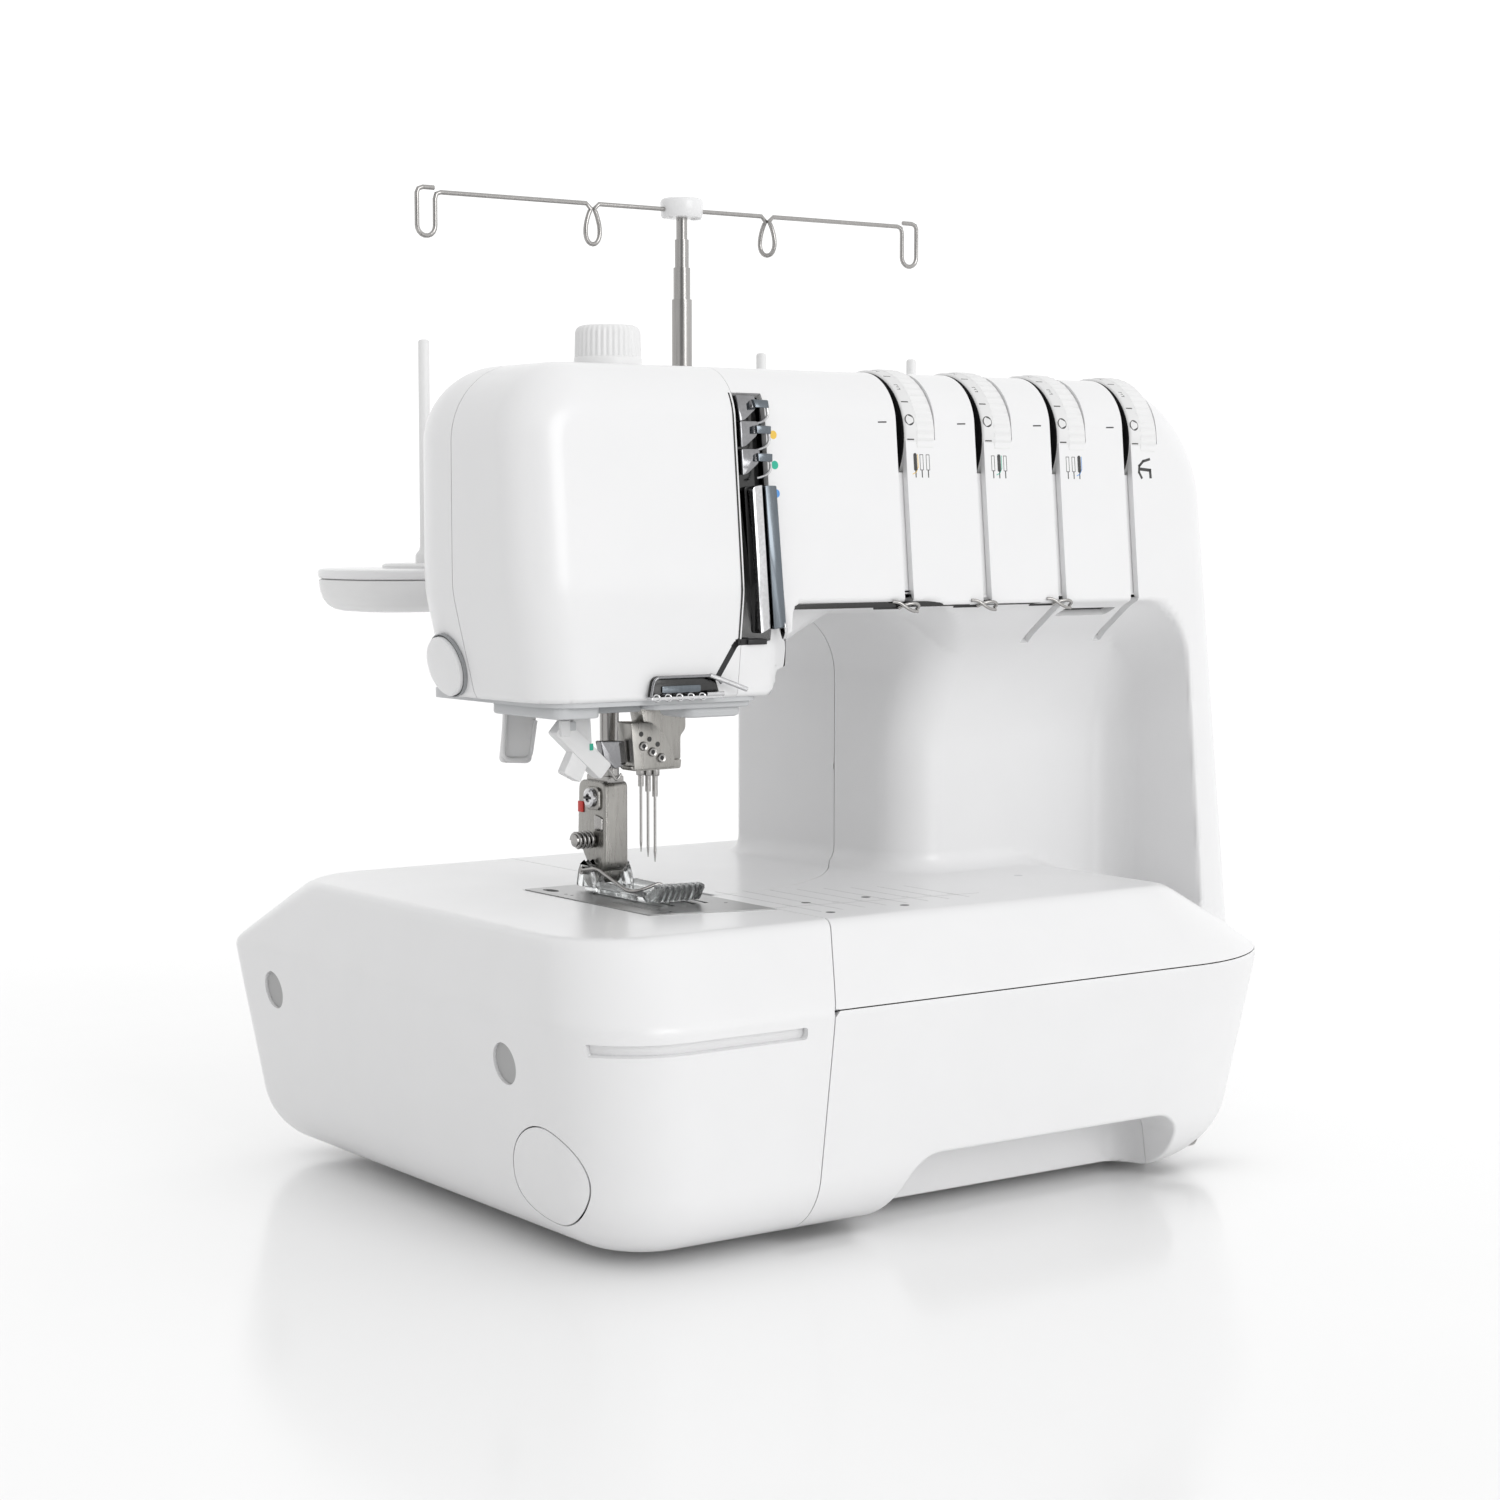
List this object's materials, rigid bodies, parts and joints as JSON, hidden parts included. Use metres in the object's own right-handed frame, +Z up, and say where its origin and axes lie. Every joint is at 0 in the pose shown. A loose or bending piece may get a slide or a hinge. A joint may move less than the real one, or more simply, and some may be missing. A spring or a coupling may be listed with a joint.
{
  "type": "coverstitch serger machine",
  "caption": "Household coverstitch serger with free arm, slide-on table, tension dials, telescopic thread stand, hinged front door and handwheel.",
  "frame": {"origin": "middle of the whole footprint, on the plane the feet stand on", "axes": "+X to the machine's right, along the arm; +Y to its back, towards the thread stand; +Z up"},
  "size_m": [0.354, 0.2746, 0.3783],
  "materials": {
    "white_plastic": "satin",
    "light_grey_plastic": "satin",
    "dark_plastic": "matt",
    "grey_plastic": "matt",
    "clear_plastic": "polished",
    "steel": "brushed",
    "chrome": "polished",
    "cast_aluminium": "cast",
    "bronze": "sintered",
    "rubber": "matt",
    "motor_paint": "satin"
  },
  "bodies": {
    "machine": {"base_tray": "white_plastic", "hinge_pins": "steel", "front_cover": "white_plastic", "rear_cover": "white_plastic", "head_cover": "white_plastic", "head_side_cap": "light_grey_plastic", "head_underplate": "light_grey_plastic", "free_arm": "light_grey_plastic", "needle_plate": "steel", "chassis": "cast_aluminium", "cover_screws": "steel", "rubber_feet": "rubber", "thread_channel": "chrome", "arm_thread_guides": "chrome", "lower_thread_guide": "chrome", "tension_axle": "steel", "tension_discs": "steel", "bar_bushes": "bronze", "presser_spring": "steel", "timing_belt": "rubber", "motor": "motor_paint", "drive_belt": "rubber", "spool_tray": "white_plastic", "tray_lid": "white_plastic", "spool_pins": "white_plastic", "mast_tube_1": "steel", "power_inlet": "dark_plastic"},
    "table": {"slide_on_table": "white_plastic", "table_plugs": "grey_plastic"},
    "door": {"looper_door": "white_plastic"},
    "dial_1": {"tension_dial_1": "white_plastic"},
    "dial_2": {"tension_dial_2": "white_plastic"},
    "dial_3": {"tension_dial_3": "white_plastic"},
    "dial_4": {"tension_dial_4": "white_plastic"},
    "knob": {"pressure_knob": "white_plastic"},
    "lever": {"lifter_lever": "light_grey_plastic"},
    "presser": {"presser_bar": "steel", "foot_shank": "steel", "shank_screws": "steel"},
    "foot": {"presser_foot": "clear_plastic", "foot_wire_guide": "steel"},
    "needle_set": {"needle_bar": "steel", "needle_clamp": "steel", "needle_screws": "steel", "needles": "chrome"},
    "threader": {"needle_threader": "white_plastic"},
    "wheel": {"lower_shaft": "steel", "handwheel": "white_plastic"},
    "top_shaft": {"upper_shaft": "steel"},
    "pulley": {"motor_pulley": "steel"},
    "looper_arm": {"looper": "steel"},
    "feed_front": {"front_feed_dog": "steel"},
    "feed_rear": {"rear_feed_dog": "steel"},
    "mast_2": {"mast_tube_2": "steel"},
    "mast_3": {"mast_tube_3": "steel"},
    "mast_4": {"mast_tube_4": "steel"},
    "bar": {"thread_bar": "chrome"},
    "stitch": {"stitch_dial": "white_plastic"},
    "feed": {"feed_dial": "white_plastic"},
    "switch": {"power_switch": "dark_plastic"}
  },
  "joints": [
    {"name": "table_slide", "type": "slide", "parent": "machine", "child": "table", "axis": [-1, 0, 0], "range_m": [0, 0.08]},
    {"name": "door_hinge", "type": "hinge", "parent": "machine", "child": "door", "pos_m": [0.007, -0.11075, 0.014], "axis": [1, 0, 0], "range_deg": [0, 70]},
    {"name": "dial_1_turn", "type": "hinge", "parent": "machine", "child": "dial_1", "pos_m": [0.0005, -0.04925, 0.276], "axis": [1, 0, 0], "range_deg": [-150, 150]},
    {"name": "dial_2_turn", "type": "hinge", "parent": "machine", "child": "dial_2", "pos_m": [0.0372, -0.04925, 0.276], "axis": [1, 0, 0], "range_deg": [-150, 150]},
    {"name": "dial_3_turn", "type": "hinge", "parent": "machine", "child": "dial_3", "pos_m": [0.0739, -0.04925, 0.276], "axis": [1, 0, 0], "range_deg": [-150, 150]},
    {"name": "dial_4_turn", "type": "hinge", "parent": "machine", "child": "dial_4", "pos_m": [0.1106, -0.04925, 0.276], "axis": [1, 0, 0], "range_deg": [-150, 150]},
    {"name": "knob_turn", "type": "hinge", "parent": "machine", "child": "knob", "pos_m": [-0.0935, -0.01325, 0.308], "axis": [0, 0, 1], "range_deg": [-180, 180]},
    {"name": "lifter_turn", "type": "hinge", "parent": "machine", "child": "lever", "pos_m": [-0.122, 0.00425, 0.197], "axis": [1, 0, 0], "range_deg": [0, 40]},
    {"name": "presser_slide", "type": "slide", "parent": "machine", "child": "presser", "axis": [0, 0, 1], "range_m": [0, 0.0062], "deforming": ["presser_spring"]},
    {"name": "foot_tilt", "type": "hinge", "parent": "presser", "child": "foot", "pos_m": [-0.0935, -0.00975, 0.1195], "axis": [-1, 0, 0], "range_deg": [0, 10]},
    {"name": "needle_bar_slide", "type": "slide", "parent": "machine", "child": "needle_set", "axis": [0, 0, 1], "range_m": [-0.026, 0]},
    {"name": "threader_slide", "type": "slide", "parent": "machine", "child": "threader", "axis": [0, 0, 1], "range_m": [-0.014, 0]},
    {"name": "handwheel_turn", "type": "hinge", "parent": "machine", "child": "wheel", "pos_m": [0.157, -0.01275, 0.06], "axis": [1, 0, 0], "continuous": true},
    {"name": "upper_shaft_turn", "type": "hinge", "parent": "machine", "child": "top_shaft", "pos_m": [0.027, -0.01275, 0.238], "axis": [1, 0, 0], "continuous": true},
    {"name": "motor_turn", "type": "hinge", "parent": "machine", "child": "pulley", "pos_m": [0.114, 0.06125, 0.052], "axis": [1, 0, 0], "continuous": true},
    {"name": "looper_swing", "type": "hinge", "parent": "machine", "child": "looper_arm", "pos_m": [-0.089, -0.02475, 0.058], "axis": [0, 1, 0], "range_deg": [-10, 10]},
    {"name": "front_feed_slide", "type": "slide", "parent": "machine", "child": "feed_front", "axis": [0, 1, 0], "range_m": [-0.002, 0.002]},
    {"name": "rear_feed_slide", "type": "slide", "parent": "machine", "child": "feed_rear", "axis": [0, 1, 0], "range_m": [-0.002, 0.002]},
    {"name": "mast_2_slide", "type": "slide", "parent": "machine", "child": "mast_2", "axis": [0, 0, 1], "range_m": [0, 0.07]},
    {"name": "mast_3_slide", "type": "slide", "parent": "mast_2", "child": "mast_3", "axis": [0, 0, 1], "range_m": [0, 0.07]},
    {"name": "mast_4_slide", "type": "slide", "parent": "mast_3", "child": "mast_4", "axis": [0, 0, 1], "range_m": [0, 0.07]},
    {"name": "bar_turn", "type": "hinge", "parent": "mast_4", "child": "bar", "pos_m": [0.017, 0.10225, 0.3735], "axis": [0, 0, 1], "range_deg": [-90, 90]},
    {"name": "stitch_dial_turn", "type": "hinge", "parent": "machine", "child": "stitch", "pos_m": [0.152, 0.02525, 0.236], "axis": [1, 0, 0], "range_deg": [-135, 135]},
    {"name": "feed_dial_turn", "type": "hinge", "parent": "machine", "child": "feed", "pos_m": [0.152, 0.02525, 0.19], "axis": [1, 0, 0], "range_deg": [-135, 135]},
    {"name": "power_switch_rock", "type": "hinge", "parent": "machine", "child": "switch", "pos_m": [0.142, 0.08025, 0.064], "axis": [0, 1, 0], "range_deg": [-6, 6]}
  ],
  "couplings": [
    {"joint": "presser_slide", "follows": "lifter_turn", "m_per_rad": 0.0086},
    {"joint": "upper_shaft_turn", "follows": "handwheel_turn", "ratio": 1},
    {"joint": "motor_turn", "follows": "handwheel_turn", "ratio": 3}
  ]
}
